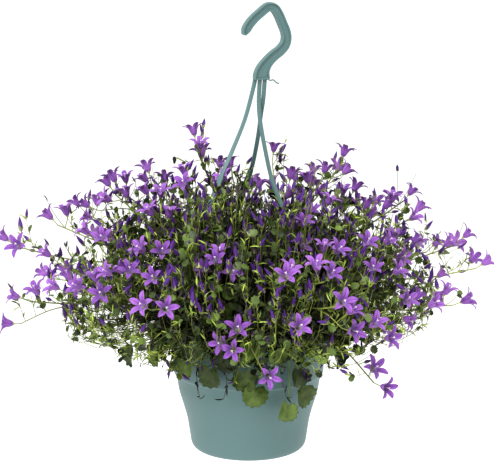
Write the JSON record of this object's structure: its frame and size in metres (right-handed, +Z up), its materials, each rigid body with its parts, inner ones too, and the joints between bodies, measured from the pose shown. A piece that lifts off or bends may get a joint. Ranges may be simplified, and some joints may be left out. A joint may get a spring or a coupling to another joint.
{
  "type": "bellflower hanging basket",
  "caption": "Bellflower with star-shaped violet bells in a plain round hanging pot, held by a moulded hook with three straps.",
  "frame": {"origin": "centre of the flat underside of the pot", "axes": "+Z up along the pot's axis, -Y towards the front, +X to the right as seen from the front"},
  "size_m": [0.6168, 0.4937, 0.5546],
  "materials": {
    "pot_plastic": "matte teal-grey moulded plastic",
    "hanger_plastic": "matte teal-grey moulded plastic",
    "soil": "moist peat, rough",
    "foliage": "fresh green leaves and stems",
    "bloom": "thin velvety petals"
  },
  "bodies": {
    "root": {"hanger": "hanger_plastic", "leaf_crown": "foliage", "pot": "pot_plastic", "soil": "soil", "spray_01": "foliage", "spray_02": "foliage", "spray_03": "foliage", "spray_04": "foliage", "spray_05": "foliage", "spray_06": "foliage", "spray_07": "foliage", "spray_08": "foliage", "spray_09": "foliage", "spray_10": "foliage", "spray_11": "foliage", "spray_12": "foliage", "spray_13": "foliage", "spray_14": "foliage", "spray_15": "foliage", "spray_16": "foliage", "spray_17": "foliage", "spray_18": "foliage", "spray_19": "foliage", "spray_20": "foliage", "spray_21": "foliage", "spray_22": "foliage", "spray_23": "foliage", "spray_24": "foliage", "spray_25": "foliage", "spray_26": "foliage", "spray_27": "foliage", "spray_28": "foliage", "spray_29": "foliage", "spray_30": "foliage", "spray_31": "foliage", "spray_32": "foliage", "spray_33": "foliage", "spray_34": "foliage", "spray_35": "foliage", "spray_36": "foliage", "spray_37": "foliage", "spray_38": "foliage", "spray_39": "foliage", "spray_40": "foliage", "spray_41": "foliage", "spray_42": "foliage", "spray_43": "foliage", "spray_44": "foliage", "spray_45": "foliage", "spray_46": "foliage", "spray_47": "foliage", "spray_48": "foliage", "spray_49": "foliage", "spray_50": "foliage", "spray_51": "foliage", "spray_52": "foliage", "spray_53": "foliage", "spray_54": "foliage"}
  },
  "joints": []
}
